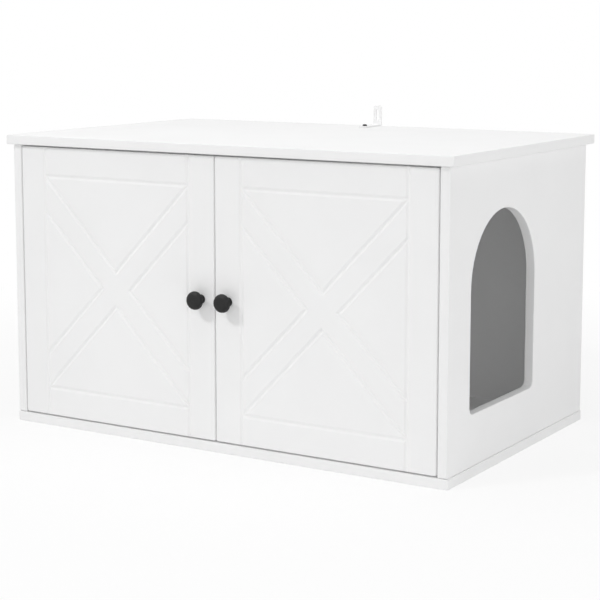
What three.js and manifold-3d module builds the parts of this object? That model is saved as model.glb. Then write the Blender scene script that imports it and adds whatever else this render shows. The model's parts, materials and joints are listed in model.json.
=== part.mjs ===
// A cat litter box cabinet: a low painted board cabinet with two inset doors, an arched cat entry
// in its right side, cup hinges, cam-lock joints, knobs and a wall bracket.
// Millimetres. X runs along the front, to the right of someone facing the doors, Y runs to the
// rear and Z up. The origin is the centre of the base's underside.
import * as THREE from "three";
import { mergeVertices } from "three/addons/utils/BufferGeometryUtils.js";
import Module from "manifold-3d";

const wasm = await Module();
wasm.setup();

// ---------------------------------------------------------------- driving dimensions

// Carcass
const topWidth = 850;
const topDepth = 540;
const cabinetHeight = 498;
const boardThickness = 16;
const boardEdge = 1.5; // round-over of the board edges
const boardCorner = 3; // round of the board corners, seen square to the face
const topOverhangSide = 10;
const topOverhangFront = 8;
const topOverhangRear = 14;
const baseProudSide = 2;
const baseProudFront = 0.5;

// Arched cat entry in the right side panel
const archRadius = 117.5;
const archCentreSetback = 192.5; // from the side panel's front edge
const archSill = 81.5; // from the side panel's bottom edge to the opening
const archStraight = 188.5; // from the sill up to where the round head springs
const archCorner = 11;

// Back board, which slides in grooves
const backThickness = 4;
const backSetback = 5;
const backGrooveDepth = 6;
const seatGap = 0.3; // between a piece and the face, slot or bore that holds it

// Doors
const doorThickness = 16;
const doorEdge = 2;
const doorGapSide = 2.3;
const doorGapMeeting = 2.3;
const doorGapTop = 3.4;
const doorGapBottom = 2.6;
const stileWidth = 50; // door edge to the middle of the upright groove
const railWidth = 48.4; // door edge to the middle of the level groove
const crossVertex = 29; // door centre to the nearest point of each chevron groove
const grooveWidth = 9.5;
const grooveDepth = 2.5;

// Cup hinges
const hingeFromDoorEnd = 122.5;
const cupInset = 22.5; // door edge to the cup's centre
const cupRadius = 17.5;
const cupDepth = 11.5;
const cupWall = 0.8;
const cupFlange = 1.2;
const cupRim = 1; // how far the flange reaches past the cup all round
const cupEarRadius = 6;
const cupEarSpacing = 48;
const cupEarOffset = 7; // the ears' holes, from the cup's centre towards the door's middle
const screwHoleRadius = 2.3;
const pinInset = 15; // door edge to the pin
const pinRadius = 2;
const runningClearance = 0.1; // round the pin
const lugThickness = 3;
const lugWall = 2.3; // metal round the pin
const lugClearance = 1.5; // each side of the arm
const armWidth = 16;
const armThickness = 2.4;
const armEyeRadius = 3.2;
const armEyeClearance = 0.2; // the arm's eye to the cup's floor
const armReach = 18; // from the pin to the middle of the swan neck
const armRise = 19.5; // from the pin to the run behind the door's edge
const armBend = 4.5;
const armFlange = 3; // the turned-down sides that straddle the plate
const armFlangeThickness = 1.2;
const armFlangeClearance = 0.5; // each side of the plate's rail
const plateThickness = 6;
const plateLength = 35;
const wingThickness = 2.5;
const wingWidth = 12;
const wingRound = 5.5;
const wingScrewSpacing = 32;
const wingFromEnd = 15; // the plate's rear end to its wings
const armScrewFromEnd = 6; // the plate's rear end to the screw in the arm
const armScrew = { radius: 1.7, headRadius: 3.6, head: 2 };
const armScrewGrip = 4.5; // length inside the plate

// Knobs
const knobFromEdge = 25;
const knobProjection = 25;
const knobHeadRadius = 15;
const knobHeadDepth = 8.5; // the head's widest line to its crown
const knobHeadRound = 6; // how far the crown's flat lies inside the head's radius
const knobNeckRadius = 5;
const knobNeckHeight = 7.5; // the door to the narrowest part
const knobFootRadius = 7.5;
const knobFootHeight = 1;
const knobScrew = { radius: 2, headRadius: 4, head: 2.4 };
const knobScrewGrip = 11; // length inside the knob

// Cross recess of the screws
const crossWidth = 0.9;
const crossLength = 4.6;
const crossDepth = 1.2;

// Cam locks, their bolts, and dowels
const camRadius = 7.5;
const camDepth = 12.5;
const camCrossWidth = 1.8;
const camCrossLength = 9;
const camCrossDepth = 2.5;
const camInset = 34; // joint face to the cam's centre
const camFromEnd = 60; // front or rear edge of the side panel to the bolt
const dowelFromEnd = 100;
const boltShankRadius = 2.5;
const boltThreadRadius = 3;
const boltThread = 11;
const boltHeadRadius = 3.5;
const boltCollar = 1.5;
const dowelRadius = 4;
const dowelLength = 30;
const dowelChamfer = 1;
const dowelInFace = 10; // how deep a dowel sits in the top or the base

// Wall bracket
const bracketWidth = 17;
const bracketThickness = 2;
const bracketFoot = 60;
const bracketUpright = 37;
const bracketCorner = 4;
const bracketBend = 2; // radius of the bend, at the strap's middle
const bracketSlotLength = 19;
const bracketSlotRadius = 2.5;
const bracketSlotCentre = 19;
const bracketScrewSetback = 49;
const bracketScrew = { radius: 2, headRadius: 4.2, head: 2.6 };
const bracketScrewGrip = 12; // length below the bracket
const bracketScrewTip = 3;

// Facets
const boreSides = 10;
const screwSides = 10;
const boltSides = 8;
const pinSides = 12;
const camSides = 14;
const cupSides = 22;
const knobSides = 22;
const knobSteps = 4;
const archSteps = 24;
const cutterSteps = 12;
const cornerSteps = 2;
const bevelSteps = 2;

// ---------------------------------------------------------------- worked-out sizes

const bodyWidth = topWidth - 2 * topOverhangSide;
const bodyDepth = topDepth - topOverhangFront - topOverhangRear;
const sideHeight = cabinetHeight - 2 * (boardThickness + seatGap);
const frontY = -bodyDepth / 2;
const rearY = bodyDepth / 2;
const innerX = bodyWidth / 2 - boardThickness; // the side panels' inner faces
const sideX = innerX + boardThickness / 2;
const sideZ = cabinetHeight / 2;
const topZ = cabinetHeight - boardThickness / 2;
const backY = rearY - backSetback - backThickness / 2;
const doorWidth = innerX - doorGapSide - doorGapMeeting / 2;
const doorHeight = cabinetHeight - 2 * boardThickness - doorGapTop - doorGapBottom;
const doorX = doorGapMeeting / 2 + doorWidth / 2;
const doorY = frontY + doorThickness / 2;
const doorZ = boardThickness + doorGapBottom + doorHeight / 2;
const hingeX = innerX - doorGapSide - pinInset;
const cupFloor = doorThickness + seatGap - cupDepth; // door front to the cup's underside
const pinDepth = cupFloor + cupWall + armEyeClearance + armEyeRadius; // door front to the pin
const hingeY = frontY + pinDepth;
const cupOffset = cupInset - pinInset; // the pin to the cup's centre
const lugGap = armWidth + 2 * lugClearance;
const plateWidth = armWidth - 2 * (armFlangeThickness + armFlangeClearance);
const plateStart = armRise + armBend; // the pin to the plate's front end
const plateEnd = plateStart + plateLength;
const plateFaceFromPin = pinInset + doorGapSide - seatGap; // the pin to the plate's seat
const armSeatFromPin = plateFaceFromPin - plateThickness - seatGap;
const knobX = doorGapMeeting / 2 + knobFromEdge;

// ---------------------------------------------------------------- materials

function finish(color, roughness, metalness = 0) {
  return new THREE.MeshStandardMaterial({ color, roughness, metalness });
}
const whitePaint = finish(0xf4f4f4, 0.45);
const blackPaint = finish(0x2c2c2c, 0.5);
const zinc = finish(0xb9bdc1, 0.35, 0.9);
const nickel = finish(0xc9cbcc, 0.25, 1);
const beech = finish(0xc9a26b, 0.7);
const whiteSteel = finish(0xf1f1f1, 0.4, 0.1);

// ---------------------------------------------------------------- solids and booleans

function solid(geometry) {
  const bare = geometry.clone();
  bare.deleteAttribute("normal");
  bare.deleteAttribute("uv");
  const merged = mergeVertices(bare, 1e-4);
  return new wasm.Manifold(
    new wasm.Mesh({
      numProp: 3,
      vertProperties: merged.attributes.position.array,
      triVerts: new Uint32Array(merged.index.array),
    }),
  );
}

function geometryOf(body) {
  const { numVert, numProp, vertProperties, triVerts } = body.getMesh();
  const points = new Float32Array(numVert * 3);
  for (let i = 0; i < numVert; i++) {
    points.set(vertProperties.subarray(i * numProp, i * numProp + 3), i * 3);
  }
  const indexed = new THREE.BufferGeometry();
  indexed.setAttribute("position", new THREE.BufferAttribute(points, 3));
  indexed.setIndex(new THREE.BufferAttribute(triVerts, 1));
  const flat = indexed.toNonIndexed();
  flat.computeVertexNormals();
  return flat;
}

// The first geometry joined with the added ones, inside the kept ones and less the cut ones.
function shaped(base, { add = [], keep = [], cut = [] }) {
  const joined = add.reduce((body, extra) => body.add(solid(extra)), solid(base));
  const kept = keep.reduce((body, tool) => body.intersect(solid(tool)), joined);
  const carved = cut.reduce((body, tool) => body.subtract(solid(tool)), kept);
  return geometryOf(carved);
}

// Turns a geometry whose length runs along Z so that it runs along another axis.
function along(geometry, axis) {
  if (axis === "x") return geometry.rotateY(Math.PI / 2);
  if (axis === "y") return geometry.rotateX(-Math.PI / 2);
  return geometry;
}

function rod(radius, length, axis, at = [0, 0, 0], sides = boreSides) {
  const geometry = new THREE.CylinderGeometry(radius, radius, length, sides).rotateX(Math.PI / 2);
  return along(geometry, axis).translate(...at);
}

function block(sizeX, sizeY, sizeZ, at = [0, 0, 0]) {
  return new THREE.BoxGeometry(sizeX, sizeY, sizeZ).translate(...at);
}

function revolved(profile, axis, sides = screwSides) {
  const points = profile.map(([radius, height]) => new THREE.Vector2(radius, height));
  return along(new THREE.LatheGeometry(points, sides).rotateX(Math.PI / 2), axis);
}

// Turns an outline's X to the cabinet's Y and its Y to Z, so that its length runs along X.
function seenFromRight(geometry) {
  return geometry.rotateX(Math.PI / 2).rotateZ(Math.PI / 2);
}

// Points on an arc, from one angle to another in quarter turns.
function arc(x, y, radius, from, to, steps = cornerSteps) {
  return Array.from({ length: steps + 1 }, (_, i) => {
    const angle = ((from + ((to - from) * i) / steps) * Math.PI) / 2;
    return new THREE.Vector2(x + radius * Math.cos(angle), y + radius * Math.sin(angle));
  });
}

function roundedRectangle(width, height, radius, steps = cornerSteps) {
  const x = width / 2 - radius;
  const y = height / 2 - radius;
  return new THREE.Shape([
    ...arc(x, y, radius, 0, 1, steps),
    ...arc(-x, y, radius, 1, 2, steps),
    ...arc(-x, -y, radius, 2, 3, steps),
    ...arc(x, -y, radius, 3, 4, steps),
  ]);
}

// A board cut to a shape and rounded over on every edge, centred on its own thickness.
function board(shape, thickness, edge) {
  const geometry = new THREE.ExtrudeGeometry(shape, {
    depth: thickness - 2 * edge,
    bevelThickness: edge,
    bevelSize: edge,
    bevelOffset: -edge,
    bevelSegments: bevelSteps,
  });
  return geometry.translate(0, 0, edge - thickness / 2);
}

function plate(shape, thickness) {
  return new THREE.ExtrudeGeometry(shape, { depth: thickness, bevelEnabled: false });
}

// A pan-head screw with a cross recess: the underside of its head is at 0 and its shank runs down
// from there, the last of it drawn in to a point.
function panScrew({ radius, headRadius, head }, length, tip = 0) {
  const profile = [
    [0, -length],
    [radius, tip - length],
    [radius, 0],
    [headRadius, 0],
    [headRadius, head / 2],
    [headRadius - head / 2, head],
    [0, head],
  ];
  return shaped(revolved(profile, "z"), {
    cut: [
      block(crossLength, crossWidth, 2 * crossDepth, [0, 0, head]),
      block(crossWidth, crossLength, 2 * crossDepth, [0, 0, head]),
    ],
  });
}

function named(name, geometry, material, position = [0, 0, 0]) {
  const mesh = new THREE.Mesh(geometry, material);
  mesh.name = name;
  mesh.position.set(...position);
  return mesh;
}

// ---------------------------------------------------------------- joints between the boards

const boltPlaces = [frontY + camFromEnd, rearY - camFromEnd];
const dowelPlaces = [frontY + dowelFromEnd, rearY - dowelFromEnd];
const boltThreadBore = boltThreadRadius + seatGap;
const dowelBore = dowelRadius + seatGap;

// The face of the top or the base that the sides meet: end is 1 at the top and -1 at the base.
function jointFace(end) {
  return sideZ + end * (cabinetHeight / 2 - boardThickness);
}

// Holes in the face of the top or the base, whose middle is at faceCentreY. side is 1 on the
// face's upper side and -1 on its lower one.
function jointHoles(faceCentreY, side) {
  const face = (side * boardThickness) / 2;
  const holes = [];
  for (const x of [-sideX, sideX]) {
    for (const y of boltPlaces) {
      const depth = boltThread + seatGap;
      holes.push(rod(boltThreadBore, 2 * depth, "z", [x, y - faceCentreY, face]));
    }
    for (const y of dowelPlaces) {
      const depth = dowelInFace + seatGap;
      holes.push(rod(dowelBore, 2 * depth, "z", [x, y - faceCentreY, face]));
    }
  }
  return holes;
}

// The slot that takes an edge of the back board, in the same face.
function backSlot(faceCentreY, side) {
  const length = 2 * (innerX + backGrooveDepth);
  const width = backThickness + 2 * seatGap;
  const place = [0, backY - faceCentreY, (side * boardThickness) / 2];
  return block(length, width, 2 * backGrooveDepth, place);
}

function topPanel() {
  const centreY = (topOverhangRear - topOverhangFront) / 2;
  const outline = roundedRectangle(topWidth, topDepth, boardCorner);
  const screwY = centreY + topDepth / 2 - bracketScrewSetback;
  const screwBore = bracketScrew.radius + seatGap;
  const screwPlace = [0, screwY - centreY, boardThickness / 2];
  const screwHole = rod(screwBore, 2 * bracketScrewGrip, "z", screwPlace);
  const geometry = shaped(board(outline, boardThickness, boardEdge), {
    cut: [...jointHoles(centreY, -1), backSlot(centreY, -1), screwHole],
  });
  return named("top_panel", geometry, whitePaint, [0, centreY, topZ]);
}

function basePanel() {
  const width = bodyWidth + 2 * baseProudSide;
  const depth = bodyDepth + 2 * baseProudFront;
  const geometry = shaped(board(roundedRectangle(width, depth, boardCorner), boardThickness, boardEdge), {
    cut: [...jointHoles(0, 1), backSlot(0, 1)],
  });
  return named("base_panel", geometry, whitePaint, [0, 0, boardThickness / 2]);
}

function backPanel() {
  const grip = backGrooveDepth - seatGap;
  const height = cabinetHeight - 2 * boardThickness + 2 * grip;
  const size = [2 * (innerX + grip), backThickness, height];
  return named("back_panel", block(...size), whitePaint, [0, backY, sideZ]);
}

// ---------------------------------------------------------------- one side, drawn for the right

// The arch in the side panel's own frame, as seen from the right: its X is the cabinet's Y.
function archOutline() {
  const centre = frontY + archCentreSetback;
  const sill = -sideHeight / 2 + archSill;
  const spring = sill + archStraight;
  const left = centre - archRadius;
  const right = centre + archRadius;
  const low = sill + archCorner;
  return new THREE.Path([
    ...arc(centre, spring, archRadius, 0, 2, archSteps),
    ...arc(left + archCorner, low, archCorner, 2, 3),
    ...arc(right - archCorner, low, archCorner, 3, 4),
  ]);
}

function sidePanel(name, hasArch) {
  const outline = roundedRectangle(bodyDepth, sideHeight, boardCorner);
  if (hasArch) outline.holes.push(archOutline());
  const sheet = seenFromRight(board(outline, boardThickness, boardEdge));
  const innerFace = -boardThickness / 2;
  const slotWidth = backThickness + 2 * seatGap;
  const cuts = [block(2 * backGrooveDepth, slotWidth, 2 * sideHeight, [innerFace, backY, 0])];
  for (const end of [-1, 1]) {
    const face = jointFace(end) - sideZ;
    for (const y of boltPlaces) {
      const camPlace = [innerFace, y, face - end * camInset];
      const camBore = camRadius + seatGap;
      cuts.push(rod(camBore, 2 * (camDepth + seatGap), "x", camPlace, camSides));
      cuts.push(rod(boltThreadBore, 2 * camInset, "z", [0, y, face]));
    }
    for (const y of dowelPlaces) {
      const depth = dowelLength - dowelInFace + seatGap;
      cuts.push(rod(dowelBore, 2 * depth, "z", [0, y, face]));
    }
  }
  return named(name, shaped(sheet, { cut: cuts }), whitePaint, [sideX, 0, sideZ]);
}

// A cam, let into the inner face: a drum with a cross slot and a mouth for the bolt's head.
function cam(name, y, end) {
  const mouth = boltHeadRadius + seatGap;
  const boltPlane = (boardThickness - camDepth) / 2;
  const mouthLength = camRadius + 2 * mouth;
  const mouthPlace = [boltPlane, 0, (end * camRadius) / 2];
  const geometry = shaped(rod(camRadius, camDepth, "x", [0, 0, 0], camSides), {
    cut: [
      rod(mouth, mouthLength, "z", mouthPlace, boltSides),
      block(2 * camCrossDepth, camCrossWidth, camCrossLength, [-camDepth / 2, 0, 0]),
      block(2 * camCrossDepth, camCrossLength, camCrossWidth, [-camDepth / 2, 0, 0]),
    ],
  });
  const place = [innerX + camDepth / 2, y, jointFace(end) - end * camInset];
  return named(name, geometry, zinc, place);
}

// A cam bolt: a thread in the top or the base, a collar, a shank, and a ball in the cam.
function camBolt(name, y, end) {
  const ball = arc(0, camInset, boltHeadRadius, -0.5, 1).map(({ x: radius, y: height }) => [
    Math.max(radius, 0),
    height,
  ]);
  const profile = [
    [0, -boltThread],
    [boltThreadRadius, -boltThread],
    [boltThreadRadius, boltCollar],
    [boltShankRadius, boltCollar],
    [boltShankRadius, camInset - boltHeadRadius],
    ...ball,
  ];
  const mesh = named(name, revolved(profile, "z", boltSides), zinc, [sideX, y, jointFace(end)]);
  if (end > 0) mesh.rotation.x = Math.PI;
  return mesh;
}

function dowel(name, y, end) {
  const half = dowelLength / 2;
  const profile = [
    [0, -half],
    [dowelRadius - dowelChamfer, -half],
    [dowelRadius, dowelChamfer - half],
    [dowelRadius, half - dowelChamfer],
    [dowelRadius - dowelChamfer, half],
    [0, half],
  ];
  const place = [sideX, y, jointFace(end) - end * (half - dowelInFace)];
  return named(name, revolved(profile, "z", boltSides), beech, place);
}

// ---------------------------------------------------------------- doors and knobs

// The path of a round-nosed cutter along the door's front face, from one point to another.
function grooveCut([x1, z1], [x2, z2]) {
  const radius = (grooveWidth ** 2 / 4 + grooveDepth ** 2) / (2 * grooveDepth);
  const length = Math.hypot(x2 - x1, z2 - z1);
  const turn = Math.atan2(x1 - x2, z2 - z1);
  const tool = new THREE.CapsuleGeometry(radius, length, bevelSteps, cutterSteps);
  tool.rotateX(Math.PI / 2).rotateY(-turn);
  const y = -doorThickness / 2 + grooveDepth - radius;
  return tool.translate((x1 + x2) / 2, y, (z1 + z2) / 2);
}

function doorGrooves() {
  const fieldX = doorWidth / 2 - stileWidth;
  const fieldZ = doorHeight / 2 - railWidth;
  const slope = (fieldZ - crossVertex) / fieldX;
  const sideZEnd = slope * (fieldX - crossVertex);
  const cuts = [];
  for (const x of [-fieldX, fieldX]) {
    cuts.push(grooveCut([x, -doorHeight], [x, doorHeight]));
    for (const z of [-sideZEnd, sideZEnd]) {
      cuts.push(grooveCut([x, z], [Math.sign(x) * crossVertex, 0]));
    }
  }
  for (const z of [-fieldZ, fieldZ]) {
    cuts.push(grooveCut([-fieldX, z], [fieldX, z]));
    for (const x of [-fieldX, fieldX]) {
      cuts.push(grooveCut([x, z], [0, Math.sign(z) * crossVertex]));
    }
  }
  return cuts;
}

function door(name) {
  const outline = roundedRectangle(doorWidth, doorHeight, boardCorner);
  const sheet = board(outline, doorThickness, doorEdge).rotateX(Math.PI / 2);
  const cuts = doorGrooves();
  const backFace = doorThickness / 2;
  for (const end of [-1, 1]) {
    const place = [doorWidth / 2 - cupInset, backFace, end * (doorHeight / 2 - hingeFromDoorEnd)];
    cuts.push(rod(cupRadius + seatGap, 2 * cupDepth, "y", place, cupSides));
  }
  const screwBore = knobScrew.radius + seatGap;
  cuts.push(rod(screwBore, 2 * doorThickness, "y", [knobX - doorX, 0, 0]));
  return named(name, shaped(sheet, { cut: cuts }), whitePaint, [doorX, doorY, doorZ]);
}

// A turned mushroom knob: a spreading foot, a neck, and a domed head with a flat crown.
function knob(name) {
  const rim = knobProjection - knobHeadDepth;
  const crown = knobHeadRadius - knobHeadRound;
  const outline = new THREE.CurvePath();
  const corner = (radius, height) => new THREE.Vector2(radius, height);
  const foot = corner(knobFootRadius, knobFootHeight);
  const neck = corner(knobNeckRadius, knobNeckHeight);
  const widest = corner(knobHeadRadius, rim);
  const top = corner(crown, knobProjection);
  const nearFoot = corner(knobNeckRadius, knobFootHeight);
  const underHead = corner(knobNeckRadius, rim - knobFootHeight);
  const overHead = corner(knobHeadRadius, knobProjection - knobFootHeight);
  outline.add(new THREE.QuadraticBezierCurve(foot, nearFoot, neck));
  outline.add(new THREE.QuadraticBezierCurve(neck, underHead, widest));
  outline.add(new THREE.QuadraticBezierCurve(widest, overHead, top));
  const curve = outline.getPoints(knobSteps).map(({ x, y }) => [x, y]);
  const profile = [[0, 0], [knobFootRadius, 0], ...curve, [0, knobProjection]];
  const bore = knobScrew.radius + seatGap;
  const geometry = shaped(revolved(profile, "y", knobSides).rotateX(Math.PI), {
    cut: [rod(bore, 2 * (knobScrewGrip + seatGap), "y")],
  });
  return named(name, geometry, blackPaint, [knobX, frontY - seatGap, doorZ]);
}

function knobFixing(name) {
  const length = knobScrewGrip + doorThickness + 2 * seatGap;
  const geometry = along(panScrew(knobScrew, length), "y");
  return named(name, geometry, zinc, [knobX, frontY + doorThickness + seatGap, doorZ]);
}

// ---------------------------------------------------------------- hinges, drawn about the pin

// The cup in the door: a drum with a flange on the door's back and two lugs that hold the pin.
function hingeCup(name) {
  const floor = cupFloor - pinDepth;
  const back = floor + cupDepth;
  const inner = cupRadius - cupWall;
  const rim = cupRadius + cupRim;
  const profile = [
    [0, floor],
    [cupRadius, floor],
    [cupRadius, back],
    [rim, back],
    [rim, back + cupFlange],
    [inner, back + cupFlange],
    [inner, floor + cupWall],
    [0, floor + cupWall],
  ];
  const drum = revolved(profile, "y", cupSides).translate(-cupOffset, 0, 0);
  const added = [];
  const bores = [];
  const earX = -cupOffset - cupEarOffset;
  const earY = back + cupFlange / 2;
  const bridge = cupEarSpacing / 2 - inner;
  const lugSize = 2 * (pinRadius + lugWall);
  const lugFoot = floor + cupWall / 2;
  const lugHeight = pinRadius + lugWall - lugFoot;
  for (const end of [-1, 1]) {
    const earAt = [earX, earY, (end * cupEarSpacing) / 2];
    const bridgeAt = [earX, earY, end * (inner + bridge / 2)];
    const lugAt = [0, lugFoot + lugHeight / 2, (end * (lugGap + lugThickness)) / 2];
    added.push(rod(cupEarRadius, cupFlange, "y", earAt, pinSides));
    added.push(block(2 * cupEarRadius, cupFlange, bridge, bridgeAt));
    added.push(block(lugSize, lugHeight, lugThickness, lugAt));
    bores.push(rod(screwHoleRadius, 2 * cupFlange, "y", earAt));
  }
  const pinLength = lugGap + 2 * lugThickness;
  const pinBore = pinRadius + runningClearance;
  bores.push(rod(pinBore, pinLength + 2 * seatGap, "z", [0, 0, 0], pinSides));
  return named(name, shaped(drum, { add: added, cut: bores }), nickel);
}

function hingePin(name) {
  const length = lugGap + 2 * lugThickness;
  return named(name, rod(pinRadius, length, "z", [0, 0, 0], pinSides), nickel);
}

// A strip of even thickness along a path, as an outline.
function strip(path, thickness) {
  const points = path.getPoints(cornerSteps);
  const spaced = points.filter((p, i) => i === 0 || p.distanceTo(points[i - 1]) > 1e-6);
  const sides = [1, -1].map((side) =>
    spaced.map((point, i) => {
      const before = spaced[Math.max(i - 1, 0)];
      const after = spaced[Math.min(i + 1, spaced.length - 1)];
      const into = point.clone().sub(i ? before : point).normalize();
      const out = after.clone().sub(i < spaced.length - 1 ? point : before).normalize();
      const heading = into.clone().add(out).normalize();
      const stretch = 1 / Math.max(heading.dot(out), 0.5);
      const offset = (side * stretch * thickness) / 2;
      return new THREE.Vector2(point.x - heading.y * offset, point.y + heading.x * offset);
    }),
  );
  return new THREE.Shape([...sides[1], ...sides[0].reverse()]);
}

// The swan-neck arm: an eye on the pin, out of the cup, round behind the door's edge and along
// the mounting plate, whose rail its turned-down sides straddle.
function hingeArm(name) {
  const bend = armBend;
  const footX = armSeatFromPin - armThickness / 2;
  const path = new THREE.Path();
  path.moveTo(0, 0);
  path.lineTo(bend - armReach, 0);
  path.absarc(bend - armReach, bend, bend, 1.5 * Math.PI, Math.PI, true);
  path.absarc(bend - armReach, armRise - bend, bend, Math.PI, Math.PI / 2, true);
  path.absarc(footX - bend, armRise + bend, bend, 1.5 * Math.PI, 2 * Math.PI);
  path.lineTo(footX, plateEnd);
  const ribbon = plate(strip(path, armThickness), armWidth).translate(0, 0, -armWidth / 2);
  const flangeDepth = armThickness + armFlange;
  const flangeX = footX - armThickness / 2 + flangeDepth / 2;
  const flanges = [-1, 1].map((end) => {
    const z = (end * (armWidth - armFlangeThickness)) / 2;
    const place = [flangeX, plateStart + plateLength / 2, z];
    return block(flangeDepth, plateLength, armFlangeThickness, place);
  });
  const pinBore = pinRadius + runningClearance;
  const screwPlace = [footX, plateEnd - armScrewFromEnd, 0];
  const geometry = shaped(ribbon, {
    add: [rod(armEyeRadius, armWidth, "z", [0, 0, 0], pinSides), ...flanges],
    cut: [
      rod(pinBore, 2 * armWidth, "z", [0, 0, 0], pinSides),
      rod(armScrew.radius + seatGap, 2 * armThickness, "x", screwPlace),
    ],
  });
  return named(name, geometry, nickel);
}

// The plate on the side panel's inner face: a rail for the arm and two wings for its screws.
function hingePlate(name) {
  const railPlace = [plateFaceFromPin - plateThickness / 2, plateStart + plateLength / 2, 0];
  const rail = block(plateThickness, plateLength, plateWidth, railPlace);
  const span = wingScrewSpacing + wingWidth;
  const wingY = plateEnd - wingFromEnd;
  const wing = seenFromRight(plate(roundedRectangle(wingWidth, span, wingRound), wingThickness));
  wing.translate(plateFaceFromPin - wingThickness, wingY, 0);
  const cuts = [-1, 1].map((end) => {
    const place = [plateFaceFromPin, wingY, (end * wingScrewSpacing) / 2];
    return rod(screwHoleRadius, 4 * wingThickness, "x", place);
  });
  const screwPlace = [armSeatFromPin, plateEnd - armScrewFromEnd, 0];
  const screwDepth = armScrewGrip + 2 * seatGap;
  cuts.push(rod(armScrew.radius + seatGap, 2 * screwDepth, "x", screwPlace));
  return named(name, shaped(rail, { add: [wing], cut: cuts }), nickel);
}

function hingeScrew(name) {
  const length = armScrewGrip + armThickness + 2 * seatGap;
  const geometry = along(panScrew(armScrew, length), "x").rotateY(Math.PI);
  const headX = armSeatFromPin - armThickness - seatGap;
  return named(name, geometry, zinc, [headX, plateEnd - armScrewFromEnd, 0]);
}

function hinge(prefix, end) {
  const group = new THREE.Group();
  group.position.set(hingeX, hingeY, doorZ + end * (doorHeight / 2 - hingeFromDoorEnd));
  group.add(
    hingeCup(`${prefix}_cup`),
    hingePin(`${prefix}_pin`),
    hingeArm(`${prefix}_arm`),
    hingePlate(`${prefix}_plate`),
    hingeScrew(`${prefix}_screw`),
  );
  return group;
}

// ---------------------------------------------------------------- one half of the cabinet

function half(side, hasArch) {
  const group = new THREE.Group();
  group.add(sidePanel(`${side}_side_panel`, hasArch), door(`${side}_door`));
  group.add(knob(`${side}_knob`), knobFixing(`${side}_knob_screw`));
  for (const [level, end] of [
    ["top", 1],
    ["base", -1],
  ]) {
    group.add(hinge(`${side}_${level === "top" ? "upper" : "lower"}_hinge`, end));
    for (const [place, y] of [
      ["front", boltPlaces[0]],
      ["rear", boltPlaces[1]],
    ]) {
      group.add(cam(`${side}_${level}_${place}_cam`, y, end));
      group.add(camBolt(`${side}_${level}_${place}_cam_bolt`, y, end));
    }
    for (const [place, y] of [
      ["front", dowelPlaces[0]],
      ["rear", dowelPlaces[1]],
    ]) {
      group.add(dowel(`${side}_${level}_${place}_dowel`, y, end));
    }
  }
  return group;
}

// ---------------------------------------------------------------- wall bracket

// A bent strap about its own heel: a foot on the top, an upright against the wall with a slot.
function wallBracket() {
  const middle = bracketThickness / 2;
  const path = new THREE.Path();
  path.moveTo(-bracketFoot, middle);
  path.lineTo(-middle - bracketBend, middle);
  path.absarc(-middle - bracketBend, middle + bracketBend, bracketBend, 1.5 * Math.PI, 2 * Math.PI);
  path.lineTo(-middle, bracketUpright);
  const strap = plate(strip(path, bracketThickness), bracketWidth);
  strap.translate(0, 0, -bracketWidth / 2);
  const footOutline = roundedRectangle(bracketWidth, 2 * bracketFoot, bracketCorner);
  const uprightOutline = roundedRectangle(bracketWidth, 2 * bracketUpright, bracketCorner);
  const footEnds = plate(footOutline, 2 * bracketUpright).translate(0, 0, -bracketUpright);
  const uprightEnds = plate(uprightOutline, 2 * bracketFoot).translate(0, 0, -bracketFoot);
  const through = 4 * bracketThickness;
  const slotReach = bracketSlotLength - 2 * bracketSlotRadius;
  const slot = block(2 * bracketSlotRadius, through, slotReach, [0, 0, bracketSlotCentre]);
  const slotEnds = [-1, 1].map((end) => {
    const z = bracketSlotCentre + (end * slotReach) / 2;
    return rod(bracketSlotRadius, through, "y", [0, 0, z]);
  });
  const screwBore = bracketScrew.radius + seatGap;
  const screwHole = rod(screwBore, through, "z", [0, -bracketScrewSetback, 0]);
  const geometry = shaped(seenFromRight(strap), {
    keep: [footEnds, uprightEnds.rotateX(Math.PI / 2)],
    cut: [slot, ...slotEnds, screwHole],
  });
  return named("wall_bracket", geometry, whiteSteel);
}

function bracketFixing() {
  const seat = bracketThickness + seatGap;
  const geometry = panScrew(bracketScrew, bracketScrewGrip + seat, bracketScrewTip);
  return named("wall_bracket_screw", geometry, blackPaint, [0, -bracketScrewSetback, seat]);
}

// ---------------------------------------------------------------- the cabinet

const cabinet = new THREE.Group();
cabinet.add(topPanel(), basePanel(), backPanel());

const rightHalf = half("right", true);
const leftHalf = half("left", false);
leftHalf.scale.x = -1;
cabinet.add(rightHalf, leftHalf);

const bracket = new THREE.Group();
bracket.position.set(0, rearY + topOverhangRear, cabinetHeight + seatGap);
bracket.add(wallBracket(), bracketFixing());
cabinet.add(bracket);

export default cabinet;
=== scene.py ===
"""A cat litter box cabinet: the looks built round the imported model.

Metres, in the model's own frame: +X to the right of someone facing the doors, +Y to the rear, +Z up,
the origin at the centre of the base's underside. The doors, the knobs and the small wood screws
are meshes made here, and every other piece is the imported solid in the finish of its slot.
"""

import json
import math

import bmesh
import bpy
from mathutils import Matrix, Vector
from mathutils.geometry import delaunay_2d_cdt


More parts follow.
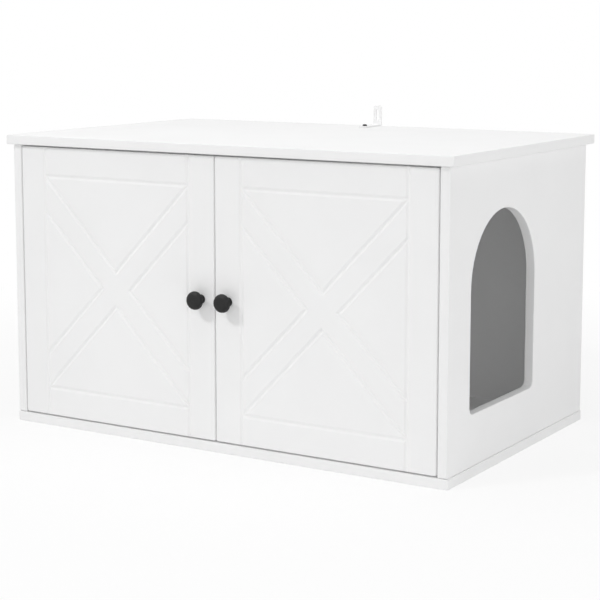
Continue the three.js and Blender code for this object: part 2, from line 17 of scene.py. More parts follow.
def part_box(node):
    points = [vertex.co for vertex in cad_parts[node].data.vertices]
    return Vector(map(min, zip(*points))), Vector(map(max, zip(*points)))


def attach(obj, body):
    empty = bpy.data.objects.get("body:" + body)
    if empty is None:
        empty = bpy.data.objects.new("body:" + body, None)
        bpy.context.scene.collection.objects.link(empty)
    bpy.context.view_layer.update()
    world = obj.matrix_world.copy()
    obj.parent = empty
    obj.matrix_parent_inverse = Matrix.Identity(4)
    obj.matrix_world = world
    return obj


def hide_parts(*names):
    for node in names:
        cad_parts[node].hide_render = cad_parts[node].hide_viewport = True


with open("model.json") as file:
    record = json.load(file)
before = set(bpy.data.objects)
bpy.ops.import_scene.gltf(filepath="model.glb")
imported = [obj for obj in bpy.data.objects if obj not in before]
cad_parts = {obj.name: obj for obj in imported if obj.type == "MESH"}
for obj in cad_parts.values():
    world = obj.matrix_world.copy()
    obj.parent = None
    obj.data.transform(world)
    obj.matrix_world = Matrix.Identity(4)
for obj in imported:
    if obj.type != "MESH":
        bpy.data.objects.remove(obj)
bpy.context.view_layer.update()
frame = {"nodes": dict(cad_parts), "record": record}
SIDES = (("right", 1), ("left", -1))
LEVELS = ("upper", "lower")
ENDS = (("high", 1), ("low", -1))
QUARTER_TURN = math.pi / 2

# ---------------------------------------------------------------- camera

CAMERA_PLACE = (1.4728, -2.3842, 0.6925)
CAMERA_YAW = 31.711  # degrees, anticlockwise from looking along +Y
CAMERA_PITCH = 7.648  # degrees below level
CAMERA_LENS = 98.56  # millimetres
CAMERA_SENSOR = 36.0  # millimetres, the sensor's width
CAMERA_SHIFT = -0.1  # share of the picture's side

# ---------------------------------------------------------------- light

WORLD_LIGHT = 0.40  # the background's strength where it only lights
LIGHT_BOUNCES = 11  # between matte surfaces, enough for the white box seen through the entry
LIGHT_TARGET = Vector((0.0, -0.1, 0.25))
LIGHTS = (  # name, place, diameter in metres, power in watts
    ("key", (-1.9, -3.4, 3.6), 0.7, 66.0),
    ("overhead", (0.0, -0.3, 3.0), 2.5, 27.0),
    ("right_fill", (3.6, 0.2, 1.4), 2.5, 26.0),
    ("front_fill", (2.6, -4.0, 1.0), 4.0, 34.0),
)
FLOOR_HALF = 30.0  # half the floor's side
FLOOR_GLOW = 0.80  # how much of the floor's white is its own near the cabinet
GLOW_START = 0.55  # distance from the cabinet's middle where the glow starts to grow
GLOW_END = 1.6  # distance where the floor is all white

# ---------------------------------------------------------------- colours

WHITE = (0.93, 0.93, 0.93)
BLACK = (0.012, 0.012, 0.012)
ZINC = (0.60, 0.62, 0.65)
NICKEL = (0.70, 0.69, 0.67)
BEECH = (0.66, 0.46, 0.27)
FLOOR_WHITE = (0.92, 0.92, 0.92)
TINT_LOW = 0.35  # noise up to here takes the dark colour of a tint
TINT_HIGH = 0.65  # noise from here on takes its light colour

# ---------------------------------------------------------------- doors

DOOR_EDGE = 0.002  # round-over of the edges
DOOR_CORNER = 0.003
STILE = 0.050  # door edge to the middle of the upright groove
RAIL = 0.0484  # door edge to the middle of the level groove
CROSS_VERTEX = 0.029  # door centre to the tip of each chevron groove
GROOVE_WIDTH = 0.0095
GROOVE_DEPTH = 0.0022
GROOVE_STEPS = 5  # strips on each slope of a groove
EDGE_STEPS = 4  # strips on each round-over
ROUND_STEPS = 8  # sides of a corner's quarter turn and of a groove's round end
BORE_STEPS = 48  # sides of a bore
CUP_RADIUS = 0.0175
CUP_CLEARANCE = 0.0003
CUP_BORE_DEPTH = 0.0115
KNOB_SCREW_BORE = 0.0023  # radius

# ---------------------------------------------------------------- knobs

KNOB_HEAD_RADIUS = 0.015
KNOB_HEAD_DEPTH = 0.0085  # the head's widest line to the top of its crown
KNOB_CROWN_RADIUS = 0.009  # the nearly flat middle of the crown
KNOB_CROWN_RISE = 0.0004
KNOB_NECK_RADIUS = 0.005
KNOB_NECK_HEIGHT = 0.0075  # the door to the narrowest part
KNOB_FOOT_RADIUS = 0.0075
KNOB_FOOT_HEIGHT = 0.001
KNOB_BEND_DROP = 0.001  # the head's two curves bend this far below their upper ends
KNOB_BORE_DEPTH = 0.0113
CURVE_STEPS = 12  # strips on each curve of an outline
TURNED_SIDES = 64

# ---------------------------------------------------------------- small wood screws

SCREW_HEAD_RADIUS = 0.0034
SCREW_HEAD_RISE = 0.0018
SCREW_HEAD_RIM = 0.00054  # height of the head's upright side
SCREW_HEAD_FLAT = 0.0026  # radius of the head's flat top
SCREW_SHANK_RADIUS = 0.0017
SCREW_TIP = 0.004
SCREW_LENGTH = 0.013
SCREW_CROSS = 0.0044  # length of the cross recess
SCREW_CROSS_WIDTH = 0.0009
SCREW_CROSS_DEPTH = 0.0011
CUP_SCREW_OFFSET = 0.007  # from the cup's middle towards the door's middle
CUP_SCREW_SPACING = 0.048
PLATE_SCREW_SETBACK = 0.015  # from the plate's rear end
PLATE_SCREW_SPACING = 0.032
PLATE_WING = 0.0025  # thickness of the plate where its screws hold it

# ---------------------------------------------------------------- meshes

SHARP_ANGLE = 50.0  # degrees, above which an edge stays sharp
WELD = 2e-6  # points of a mesh that are closer than this become one
MILLI = 1000.0  # plane outlines are cut in millimetres, which suits the triangulation
CUT_TOLERANCE = 1e-4  # millimetres
CUT_WHOLE_HULL = 0  # the triangulation's own number for keeping every triangle
VERTEX_DIGITS = 3  # decimals of a millimetre in which a door's shared vertices agree


# ---------------------------------------------------------------- node helpers


class Nodes:
    """The node tree of one material, with a few short ways to add nodes to it."""

    def __init__(self, name, color, roughness, metallic=0.0, specular=0.5):
        self.material = bpy.data.materials.new(name)
        self.material.use_nodes = True
        self.tree = self.material.node_tree
        self.shader = self.tree.nodes["Principled BSDF"]
        self.shader.inputs["Base Color"].default_value = (*color, 1.0)
        self.shader.inputs["Roughness"].default_value = roughness
        self.shader.inputs["Metallic"].default_value = metallic
        self.shader.inputs["Specular IOR Level"].default_value = specular
        self.place = self.tree.nodes.new("ShaderNodeTexCoord").outputs["Object"]

    def link(self, source, target):
        self.tree.links.new(source, target)

    def noise(self, scale, detail=2.0, stretch=(1.0, 1.0, 1.0)):
        """Noise on the piece's own coordinates, drawn out along the axes whose stretch is small."""
        mapping = self.tree.nodes.new("ShaderNodeMapping")
        mapping.inputs["Scale"].default_value = stretch
        self.link(self.place, mapping.inputs["Vector"])
        texture = self.tree.nodes.new("ShaderNodeTexNoise")
        texture.inputs["Scale"].default_value = scale
        texture.inputs["Detail"].default_value = detail
        self.link(mapping.outputs["Vector"], texture.inputs["Vector"])
        return texture.outputs["Fac"]

    def tint(self, value, dark, light):
        """A base colour between two colours, by a 0 to 1 value."""
        ramp = self.tree.nodes.new("ShaderNodeValToRGB")
        first, last = ramp.color_ramp.elements
        first.position = TINT_LOW
        first.color = (*dark, 1.0)
        last.position = TINT_HIGH
        last.color = (*light, 1.0)
        self.link(value, ramp.inputs["Fac"])
        self.link(ramp.outputs["Color"], self.shader.inputs["Base Color"])

    def gloss(self, value, low, high):
        """A roughness between two numbers, by a 0 to 1 value."""
        spread = self.tree.nodes.new("ShaderNodeMapRange")
        spread.inputs["To Min"].default_value = low
        spread.inputs["To Max"].default_value = high
        self.link(value, spread.inputs["Value"])
        self.link(spread.outputs["Result"], self.shader.inputs["Roughness"])

    def bump(self, height, strength, distance, under=None):
        """Relief from a 0 to 1 height, on top of an earlier relief if there is one."""
        relief = self.tree.nodes.new("ShaderNodeBump")
        relief.inputs["Strength"].default_value = strength
        relief.inputs["Distance"].default_value = distance
        self.link(height, relief.inputs["Height"])
        if under is not None:
            self.link(under, relief.inputs["Normal"])
        self.link(relief.outputs["Normal"], self.shader.inputs["Normal"])
        return relief.outputs["Normal"]


def shade(color, factor):
    return tuple(channel * factor for channel in color)


# ---------------------------------------------------------------- materials


def white_paint():
    """Matte sprayed paint on fibreboard: a faint orange peel and hardly any colour of its own."""
    nodes = Nodes("white_paint", WHITE, roughness=0.5, specular=0.15)
    nodes.tint(nodes.noise(scale=7.0, detail=3.0), dark=shade(WHITE, 0.985), light=WHITE)
    nodes.gloss(nodes.noise(scale=24.0, detail=3.0), low=0.44, high=0.56)
    waves = nodes.bump(nodes.noise(scale=160.0, detail=1.0), strength=0.05, distance=0.0006)
    nodes.bump(nodes.noise(scale=1400.0), strength=0.06, distance=0.0001, under=waves)
    return nodes.material


def black_paint():
    """Matte black coating with a fine tooth."""
    nodes = Nodes("black_paint", BLACK, roughness=0.5, specular=0.3)
    speckle = nodes.noise(scale=180.0, detail=3.0)
    nodes.tint(speckle, dark=shade(BLACK, 0.85), light=shade(BLACK, 1.15))
    nodes.gloss(nodes.noise(scale=300.0), low=0.42, high=0.58)
    nodes.bump(nodes.noise(scale=2600.0), strength=0.12, distance=0.00006)
    return nodes.material


def plated_metal(name, color, roughness, grain):
    """Plated steel: an uneven grain in its colour, and finer ones in its gloss and its surface."""
    nodes = Nodes(name, color, roughness, metallic=1.0)
    nodes.tint(nodes.noise(grain, detail=4.0), dark=shade(color, 0.86), light=color)
    finer = nodes.noise(grain * 3.0, detail=3.0)
    nodes.gloss(finer, low=roughness - 0.08, high=roughness + 0.10)
    nodes.bump(nodes.noise(grain * 12.0), strength=0.08, distance=0.00003)
    return nodes.material


def beech():
    """Turned beech: streaks and short dark flecks along the dowel."""
    nodes = Nodes("beech", BEECH, roughness=0.62)
    streaks = nodes.noise(scale=900.0, detail=5.0, stretch=(1.0, 1.0, 0.06))
    nodes.tint(streaks, dark=shade(BEECH, 0.72), light=BEECH)
    nodes.bump(streaks, strength=0.2, distance=0.0001)
    return nodes.material


def powder_coat():
    """White powder coat on the steel bracket, grainier than the boards' paint and glossier."""
    nodes = Nodes("white_steel", WHITE, roughness=0.38)
    nodes.tint(nodes.noise(scale=60.0, detail=3.0), dark=shade(WHITE, 0.96), light=WHITE)
    nodes.gloss(nodes.noise(scale=90.0), low=0.32, high=0.46)
    nodes.bump(nodes.noise(scale=700.0), strength=0.15, distance=0.0001)
    return nodes.material


MATERIALS = {
    "white_paint": white_paint(),
    "black_paint": black_paint(),
    "zinc": plated_metal("zinc", ZINC, roughness=0.36, grain=90.0),
    "nickel": plated_metal("nickel", NICKEL, roughness=0.26, grain=60.0),
    "beech": beech(),
    "white_steel": powder_coat(),
}


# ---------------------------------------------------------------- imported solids


def smooth_by_angle():
    """A node group that welds a solid and shades it smooth, apart from its sharp edges."""
    group = bpy.data.node_groups.new("smooth_by_angle", "GeometryNodeTree")
    group.interface.new_socket("Geometry", in_out="INPUT", socket_type="NodeSocketGeometry")
    group.interface.new_socket("Geometry", in_out="OUTPUT", socket_type="NodeSocketGeometry")
    start = group.nodes.new("NodeGroupInput")
    end = group.nodes.new("NodeGroupOutput")
    weld = group.nodes.new("GeometryNodeMergeByDistance")
    weld.inputs["Distance"].default_value = WELD
    faces = group.nodes.new("GeometryNodeSetShadeSmooth")
    faces.domain = "FACE"
    edges = group.nodes.new("GeometryNodeSetShadeSmooth")
    edges.domain = "EDGE"
    edge_angle = group.nodes.new("GeometryNodeInputMeshEdgeAngle")
    is_soft = group.nodes.new("FunctionNodeCompare")
    is_soft.data_type = "FLOAT"
    is_soft.operation = "LESS_EQUAL"
    is_soft.inputs["B"].default_value = math.radians(SHARP_ANGLE)
    group.links.new(start.outputs[0], weld.inputs["Geometry"])
    group.links.new(weld.outputs["Geometry"], faces.inputs["Geometry"])
    group.links.new(faces.outputs["Geometry"], edges.inputs["Geometry"])
    group.links.new(edge_angle.outputs["Unsigned Angle"], is_soft.inputs["A"])
    group.links.new(is_soft.outputs["Result"], edges.inputs["Shade Smooth"])
    group.links.new(edges.outputs["Geometry"], end.inputs[0])
    return group


SMOOTH = smooth_by_angle()


def soften(piece):
    """Smooth shading that leaves flat faces flat."""
    smooth = piece.modifiers.new("smooth", "NODES")
    smooth.node_group = SMOOTH
    weighted = piece.modifiers.new("flat_faces", "WEIGHTED_NORMAL")
    weighted.keep_sharp = True


def dress_packed_solids():
    slots = {row["node"]: row["material_slot"] for row in frame["record"]["subparts"]}
    for name, node in frame["nodes"].items():
        for material_slot in node.material_slots:
            material_slot.material = MATERIALS[slots[name]]
        soften(node)


# ---------------------------------------------------------------- outlines cut in a plane


class Plan:
    """Lines in a plane, in millimetres, that are cut into triangles together."""

    def __init__(self):
        self.points = []
        self.edges = []

    def line(self, points, closed=False):
        """Adds a line through some points."""
        first = len(self.points)
        count = len(points)
        self.points += [Vector(point) for point in points]
        spans = count if closed else count - 1
        self.edges += [(first + i, first + (i + 1) % count) for i in range(spans)]

    def triangles(self, inside):
        """The points and triangles of the plane, less the triangles whose middle isn't inside."""
        cut = delaunay_2d_cdt(self.points, self.edges, [], CUT_WHOLE_HULL, CUT_TOLERANCE)
        points, _, faces, *_ = cut
        kept = []
        for face in faces:
            middle = sum((points[i] for i in face), Vector((0.0, 0.0))) / len(face)
            if inside(middle):
                kept.append(face)
        return points, kept


def arc(centre, radius, start, sweep, steps):
    """Points on an arc, from a start angle through a sweep, both in radians."""
    angles = [start + sweep * i / steps for i in range(steps + 1)]
    return [(centre[0] + radius * math.cos(a), centre[1] + radius * math.sin(a)) for a in angles]


def circle(centre, radius, steps=BORE_STEPS):
    return arc(centre, radius, 0.0, math.tau, steps)[:-1]


def rounded_rectangle(half_width, half_height, corner):
    x = half_width - corner
    y = half_height - corner
    points = []
    for i, centre in enumerate([(x, y), (-x, y), (-x, -y), (x, -y)]):
        points += arc(centre, corner, QUARTER_TURN * i, QUARTER_TURN, ROUND_STEPS)
    return points


def round_a_segment(a, b, distance):
    """The closed line at one distance all round the segment from a to b."""
    heading = math.atan2(b[1] - a[1], b[0] - a[0])
    near = arc(a, distance, heading + QUARTER_TURN, math.pi, ROUND_STEPS)
    far = arc(b, distance, heading - QUARTER_TURN, math.pi, ROUND_STEPS)
    return near + far


def distance_to_segment(point, a, b):
    span = Vector(b) - Vector(a)
    reach = (point - Vector(a)).dot(span) / span.length_squared
    nearest = Vector(a) + span * min(max(reach, 0.0), 1.0)
    return (point - nearest).length


def boundary(faces):
    """The edges that only one face has, each in that face's own direction."""
    spans = [(face[i - 1], face[i]) for face in faces for i in range(len(face))]
    found = set(spans)
    return [(a, b) for a, b in spans if (b, a) not in found]


# ---------------------------------------------------------------- finished meshes


def as_data(name, mesh):
    """The finished mesh, with its faces turned outwards, as data that objects can share."""
    bmesh.ops.recalc_face_normals(mesh, faces=mesh.faces)
    data = bpy.data.meshes.new(name)
    mesh.to_mesh(data)
    mesh.free()
    return data


def placed(name, data, slot, matrix, body):
    """An object of a finished mesh, with its finish and its place, that rides on a body."""
    piece = bpy.data.objects.new(name, data)
    if not data.materials:
        data.materials.append(MATERIALS[slot])
    piece.matrix_world = matrix
    bpy.context.collection.objects.link(piece)
    soften(piece)
    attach(piece, body)
    return piece


def facing(direction, place):
    """The matrix that points a piece's Z along a direction and puts it at a place."""
    return Matrix.Translation(place) @ Vector(direction).to_track_quat("Z", "X").to_matrix().to_4x4()


# ---------------------------------------------------------------- doors


class Door:
    """One door, drawn for the right side about its own middle, in millimetres.

    Points of its plane are seen from the front, and depths run from the front to the rear.
    """

    def __init__(self, side, sign):
        self.side = side
        self.sign = sign
        low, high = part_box(f"{side}_door")
        self.middle = (low + high) / 2
        self.half_width = (high.x - low.x) / 2 * MILLI
        self.half_height = (high.z - low.z) / 2 * MILLI
        self.thickness = (high.y - low.y) * MILLI
        self.edge = DOOR_EDGE * MILLI
        self.corner = DOOR_CORNER * MILLI
        self.cup_bore = (CUP_RADIUS + CUP_CLEARANCE) * MILLI
        self.grooves = self.groove_lines()
        self.cups = [self.in_plane(f"{side}_{level}_hinge_cup") for level in LEVELS]
        self.knob = self.in_plane(f"{side}_knob")
        self.mesh = bmesh.new()
        self.vertices = {}

    def in_plane(self, node):
        """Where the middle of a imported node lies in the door's plane."""
        low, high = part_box(node)
        place = ((low + high) / 2 - self.middle) * MILLI
        return (place.x * self.sign, place.z)

    def groove_lines(self):
        """The middle of each groove: two uprights, two level ones and eight that form the cross."""
        field_x = self.half_width - STILE * MILLI
        field_z = self.half_height - RAIL * MILLI
        vertex = CROSS_VERTEX * MILLI
        slope = (field_z - vertex) / field_x
        side_z = slope * (field_x - vertex)
        past = self.half_height + GROOVE_WIDTH * MILLI
        lines = []
        for x in (-field_x, field_x):
            lines.append(((x, -past), (x, past)))
            for z in (-field_z, field_z):
                lines.append(((x, z), (0.0, math.copysign(vertex, z))))
            for z in (-side_z, side_z):
                lines.append(((x, z), (math.copysign(vertex, x), 0.0)))
        for z in (-field_z, field_z):
            lines.append(((-field_x, z), (field_x, z)))
        return lines

    def inset(self, point):
        """How far a point lies inside the door's outline."""
        over_x = abs(point.x) - self.half_width + self.corner
        over_z = abs(point.y) - self.half_height + self.corner
        if over_x > 0 and over_z > 0:
            return self.corner - math.hypot(over_x, over_z)
        return self.corner - max(over_x, over_z)

    def edge_drop(self, point):
        lack = min(max(self.edge - self.inset(point), 0.0), self.edge)
        return self.edge - math.sqrt(self.edge**2 - lack**2)

    def groove_drop(self, point):
        nearest = min(distance_to_segment(point, a, b) for a, b in self.grooves)
        share = min(nearest / (GROOVE_WIDTH / 2 * MILLI), 1.0)
        return GROOVE_DEPTH * MILLI * (1 + math.cos(math.pi * share)) / 2

    def in_board(self, point):
        in_knob_bore = (point - Vector(self.knob)).length < KNOB_SCREW_BORE * MILLI
        return self.inset(point) > 0 and not in_knob_bore

    def in_cup(self, point):
        return any((point - Vector(cup)).length < self.cup_bore for cup in self.cups)

    def edge_rings(self):
        """The outline and the lines of its round-over, from the outside in."""
        rings = []
        for i in range(EDGE_STEPS + 1):
            inward = self.edge * (1 - math.cos(QUARTER_TURN * i / EDGE_STEPS))
            sizes = (self.half_width - inward, self.half_height - inward, self.corner - inward)
            rings.append(rounded_rectangle(*sizes))
        return rings

    def front_triangles(self):
        plan = Plan()
        for ring in self.edge_rings():
            plan.line(ring, closed=True)
        for a, b in self.grooves:
            plan.line([a, b])
            for i in range(1, GROOVE_STEPS + 1):
                distance = GROOVE_WIDTH / 2 * MILLI * i / GROOVE_STEPS
                plan.line(round_a_segment(a, b, distance), closed=True)
        plan.line(circle(self.knob, KNOB_SCREW_BORE * MILLI), closed=True)
        return plan.triangles(self.in_board)

    def back_triangles(self, outline):
        """The back, inside the front's own outline so that the two share their edge points."""
        plan = Plan()
        for a, b in outline:
            plan.line([a, b])
        for ring in self.edge_rings()[1:]:
            plan.line(ring, closed=True)
        for cup in self.cups:
            plan.line(circle(cup, self.cup_bore), closed=True)
        return plan.triangles(lambda point: self.in_board(point) and not self.in_cup(point))

    def vertex(self, point, depth):
        """The mesh's one vertex at a point and a depth."""
        key = tuple(round(number, VERTEX_DIGITS) for number in (point.x, point.y, depth))
        if key not in self.vertices:
            x = self.middle.x + self.sign * point.x / MILLI
            y = self.middle.y + (depth - self.thickness / 2) / MILLI
            self.vertices[key] = self.mesh.verts.new((x, y, self.middle.z + point.y / MILLI))
        return self.vertices[key]

    def front_vertex(self, point):
        return self.vertex(point, max(self.edge_drop(point), self.groove_drop(point)))

    def back_vertex(self, point):
        return self.vertex(point, self.thickness - self.edge_drop(point))

    def add_face(self, *corners):
        """A face of the corners that differ, if there are three or more."""
        if len(set(corners)) > 2:
            self.mesh.faces.new(list(dict.fromkeys(corners)))

    def add_cup_bores(self, rims):
        floor = self.thickness - CUP_BORE_DEPTH * MILLI
        for near, far in rims:
            below = (self.vertex(far, floor), self.vertex(near, floor))
            self.add_face(self.back_vertex(near), self.back_vertex(far), *below)
        for cup in self.cups:
            self.add_face(*(self.vertex(Vector(point), floor) for point in circle(cup, self.cup_bore)))

    def build(self):
        points, faces = self.front_triangles()
        for face in faces:
            self.add_face(*(self.front_vertex(points[i]) for i in face))
        outline = [(points[a], points[b]) for a, b in boundary(faces)]
        back_points, back_faces = self.back_triangles(outline)
        for face in back_faces:
            self.add_face(*(self.back_vertex(back_points[i]) for i in reversed(face)))
        for near, far in outline:
            behind = (self.back_vertex(far), self.back_vertex(near))
            self.add_face(self.front_vertex(near), self.front_vertex(far), *behind)
        back_outline = [(back_points[a], back_points[b]) for a, b in boundary(back_faces)]
        self.add_cup_bores([(a, b) for a, b in back_outline if self.in_cup((a + b) / 2)])
        name = f"{self.side}_door_panel"
        data = as_data(name, self.mesh)
        panel = placed(name, data, "white_paint", Matrix(), f"{self.side}_door")
        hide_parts(f"{self.side}_door")


# ---------------------------------------------------------------- turned pieces


def curve(start, bend, end):
    """Points on a quadratic curve."""
    points = []
    for i in range(CURVE_STEPS + 1):
        t = i / CURVE_STEPS
        shares = ((1 - t) ** 2, 2 * t * (1 - t), t**2)
        points.append(tuple(sum(s * v for s, v in zip(shares, row)) for row in zip(start, bend, end)))
    return points


def add_turned(mesh, outline):
    """Adds the surface that an outline of radius and height sweeps about Z to a mesh."""
    rings = []
    for radius, height in outline:
        if radius > 0:
            ring = circle((0.0, 0.0), radius, TURNED_SIDES)
        else:
            ring = [(0.0, 0.0)]
        rings.append([mesh.verts.new((x, y, height)) for x, y in ring])
    for low, high in zip(rings, rings[1:]):
        for i in range(TURNED_SIDES):
            j = i + 1
            corners = [low[i % len(low)], low[j % len(low)], high[j % len(high)], high[i % len(high)]]
            mesh.faces.new(list(dict.fromkeys(corners)))


def knob_mesh(height):
    """A mushroom knob with the bore for its screw, turned about Z, its foot at 0."""
    rim = height - KNOB_HEAD_DEPTH
    shoulder = height - KNOB_CROWN_RISE
    foot = (KNOB_FOOT_RADIUS, KNOB_FOOT_HEIGHT)
    neck = (KNOB_NECK_RADIUS, KNOB_NECK_HEIGHT)
    widest = (KNOB_HEAD_RADIUS, rim)
    crown = (KNOB_CROWN_RADIUS, shoulder)
    mesh = bmesh.new()
    outline = [
        (0.0, KNOB_BORE_DEPTH),
        (KNOB_SCREW_BORE, KNOB_BORE_DEPTH),
        (KNOB_SCREW_BORE, 0.0),
        (KNOB_FOOT_RADIUS, 0.0),
        *curve(foot, (KNOB_NECK_RADIUS, KNOB_FOOT_HEIGHT), neck),
        *curve(neck, (KNOB_NECK_RADIUS, rim - KNOB_BEND_DROP), widest)[1:],
        *curve(widest, (KNOB_HEAD_RADIUS, shoulder - KNOB_BEND_DROP), crown)[1:],
        *curve(crown, (KNOB_CROWN_RADIUS / 2, height), (0.0, height))[1:],
    ]
    add_turned(mesh, outline)
    return as_data("knob", mesh)


def add_knobs():
    for side, _ in SIDES:
        low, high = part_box(f"{side}_knob")
        middle = (low + high) / 2
        seat = Vector((middle.x, high.y, middle.z))
        data = knob_mesh(high.y - low.y)
        place = facing((0, -1, 0), seat)
        piece = placed(f"{side}_door_knob", data, "black_paint", place, f"{side}_door")
        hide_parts(f"{side}_knob")


# ---------------------------------------------------------------- small wood screws


class Cross:
    """The cross recess of a screw, in millimetres."""

    half_length = SCREW_CROSS / 2 * MILLI
    half_width = SCREW_CROSS_WIDTH / 2 * MILLI

    def outline(self):
        """The closed line round its four arms."""
        long, short = self.half_length, self.half_width
        arm = [(long, -short), (long, short), (short, short)]
        points = []
        for _ in range(4):
            points += arm
            arm = [(-y, x) for x, y in arm]
        return points

    def contains(self, point):
        across, up = abs(point.x), abs(point.y)
        return min(across, up) < self.half_width and max(across, up) < self.half_length


def screw_mesh():
    """A pan-head wood screw about Z, with the underside of its head at 0 and its tip below."""
    mesh = bmesh.new()
    side = (SCREW_HEAD_RADIUS, SCREW_HEAD_RIM)
    top = (SCREW_HEAD_FLAT, SCREW_HEAD_RISE)
    outline = [
        (0.0, -SCREW_LENGTH),
        (SCREW_SHANK_RADIUS, SCREW_TIP - SCREW_LENGTH),
        (SCREW_SHANK_RADIUS, 0.0),
        (SCREW_HEAD_RADIUS, 0.0),
        *curve(side, (SCREW_HEAD_RADIUS, SCREW_HEAD_RISE), top),
    ]
    add_turned(mesh, outline)
    add_screw_top(mesh)
    bmesh.ops.remove_doubles(mesh, verts=mesh.verts, dist=WELD)
    return as_data("wood_screw", mesh)


def add_screw_top(mesh):
    """Adds the flat top of a screw's head to a mesh, with the cross recess in it."""
    cross = Cross()
    reach = SCREW_HEAD_FLAT * MILLI
    plan = Plan()
    plan.line(circle((0.0, 0.0), reach, TURNED_SIDES), closed=True)
    plan.line(cross.outline(), closed=True)
    points, faces = plan.triangles(lambda point: point.length < reach and not cross.contains(point))
    flat = [mesh.verts.new((point.x / MILLI, point.y / MILLI, SCREW_HEAD_RISE)) for point in points]
    for face in faces:
        mesh.faces.new([flat[i] for i in face])
    rim = [(x / MILLI, y / MILLI) for x, y in cross.outline()]
    upper = [mesh.verts.new((x, y, SCREW_HEAD_RISE)) for x, y in rim]
    lower = [mesh.verts.new((x, y, SCREW_HEAD_RISE - SCREW_CROSS_DEPTH)) for x, y in rim]
    for i in range(len(rim)):
        mesh.faces.new([upper[i - 1], lower[i - 1], lower[i], upper[i]])
    mesh.faces.new(lower)


def add_hinge_screws():
    """The two small screws in each hinge cup and the two in each hinge plate."""
    data = screw_mesh()
    for side, sign in SIDES:
        for level in LEVELS:
            prefix = f"{side}_{level}_hinge"
            cup_low, cup_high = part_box(f"{prefix}_cup")
            plate_low, plate_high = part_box(f"{prefix}_plate")
            cup = (cup_low + cup_high) / 2
            plate = (plate_low + plate_high) / 2
            plate_seat = max(sign * plate_low.x, sign * plate_high.x)
            ear_x = cup.x - sign * CUP_SCREW_OFFSET
            wing_x = sign * (plate_seat - PLATE_WING)
            wing_y = plate_high.y - PLATE_SCREW_SETBACK
            for end, step in ENDS:
                ear = Vector((ear_x, cup_high.y, cup.z + step * CUP_SCREW_SPACING / 2))
                wing = Vector((wing_x, wing_y, plate.z + step * PLATE_SCREW_SPACING / 2))
                in_door = facing((0, 1, 0), ear)
                in_side = facing((-sign, 0, 0), wing)
                placed(f"{prefix}_cup_screw_{end}", data, "zinc", in_door, f"{side}_door")
                placed(f"{prefix}_plate_screw_{end}", data, "zinc", in_side, "cabinet")


# ---------------------------------------------------------------- stage


def make_camera():
    data = bpy.data.cameras.new("camera")
    data.lens = CAMERA_LENS
    data.sensor_width = CAMERA_SENSOR
    data.shift_y = CAMERA_SHIFT
    camera = bpy.data.objects.new("camera", data)
    camera.location = CAMERA_PLACE
    pitch = math.radians(90.0 - CAMERA_PITCH)
    camera.rotation_euler = (pitch, 0.0, math.radians(CAMERA_YAW))
    bpy.context.collection.objects.link(camera)
    bpy.context.scene.camera = camera


def seen_directly(tree):
    """1 where a camera, mirror or glass ray looks at the surface, and 0 where it only lights."""
    rays = tree.nodes.new("ShaderNodeLightPath")
    total = rays.outputs["Is Camera Ray"]
    for kind in ("Is Glossy Ray", "Is Transmission Ray"):
        larger = tree.nodes.new("ShaderNodeMath")
        larger.operation = "MAXIMUM"
        tree.links.new(total, larger.inputs[0])
        tree.links.new(rays.outputs[kind], larger.inputs[1])
        total = larger.outputs[0]
    return total


def make_world():
    world = bpy.data.worlds.new("studio")
    world.use_nodes = True
    tree = world.node_tree
    background = tree.nodes["Background"]
    background.inputs["Color"].default_value = (1.0, 1.0, 1.0, 1.0)
    strength = tree.nodes.new("ShaderNodeMapRange")
    strength.inputs["To Min"].default_value = WORLD_LIGHT
    strength.inputs["To Max"].default_value = 1.0
    tree.links.new(seen_directly(tree), strength.inputs["Value"])
    tree.links.new(strength.outputs["Result"], background.inputs["Strength"])
    bpy.context.scene.world = world


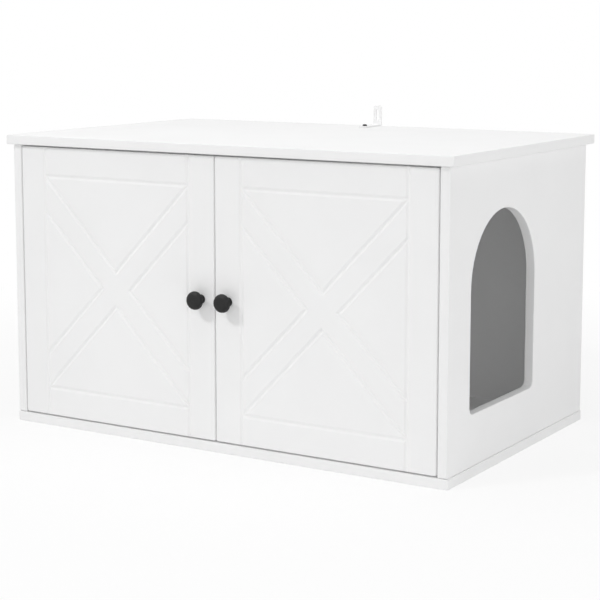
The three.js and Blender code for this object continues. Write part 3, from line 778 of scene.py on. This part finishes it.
def make_light(name, place, size, power):
    data = bpy.data.lights.new(name, "AREA")
    data.shape = "DISK"
    data.size = size
    data.energy = power
    light = bpy.data.objects.new(name, data)
    light.location = place
    light.rotation_euler = (LIGHT_TARGET - Vector(place)).to_track_quat("-Z", "Y").to_euler()
    bpy.context.collection.objects.link(light)


def floor_finish():
    """Matte white, which turns to pure white away from the cabinet so that no horizon shows."""
    nodes = Nodes("floor", FLOOR_WHITE, roughness=0.9, specular=0.0)
    tree = nodes.tree
    distance = tree.nodes.new("ShaderNodeVectorMath")
    distance.operation = "LENGTH"
    nodes.link(nodes.place, distance.inputs[0])
    growth = tree.nodes.new("ShaderNodeMapRange")
    growth.interpolation_type = "SMOOTHSTEP"
    growth.inputs["From Min"].default_value = GLOW_START
    growth.inputs["From Max"].default_value = GLOW_END
    growth.inputs["To Min"].default_value = FLOOR_GLOW
    nodes.link(distance.outputs["Value"], growth.inputs["Value"])
    share = tree.nodes.new("ShaderNodeMath")
    share.operation = "MULTIPLY"
    nodes.link(growth.outputs["Result"], share.inputs[0])
    nodes.link(seen_directly(tree), share.inputs[1])
    glow = tree.nodes.new("ShaderNodeEmission")
    mix = tree.nodes.new("ShaderNodeMixShader")
    nodes.link(share.outputs[0], mix.inputs["Fac"])
    nodes.link(nodes.shader.outputs["BSDF"], mix.inputs[1])
    nodes.link(glow.outputs["Emission"], mix.inputs[2])
    nodes.link(mix.outputs["Shader"], tree.nodes["Material Output"].inputs["Surface"])
    return nodes.material


def make_floor():
    mesh = bpy.data.meshes.new("floor")
    corners = [(-1, -1), (1, -1), (1, 1), (-1, 1)]
    mesh.from_pydata([(x * FLOOR_HALF, y * FLOOR_HALF, 0.0) for x, y in corners], [], [(0, 1, 2, 3)])
    floor = bpy.data.objects.new("floor", mesh)
    bpy.context.collection.objects.link(floor)
    mesh.materials.append(floor_finish())


# ---------------------------------------------------------------- the scene

make_camera()
make_world()
for light in LIGHTS:
    make_light(*light)
make_floor()
dress_packed_solids()
for side, sign in SIDES:
    Door(side, sign).build()
add_knobs()
add_hinge_screws()

bpy.context.scene.cycles.diffuse_bounces = LIGHT_BOUNCES
bpy.context.scene.view_settings.view_transform = "Standard"
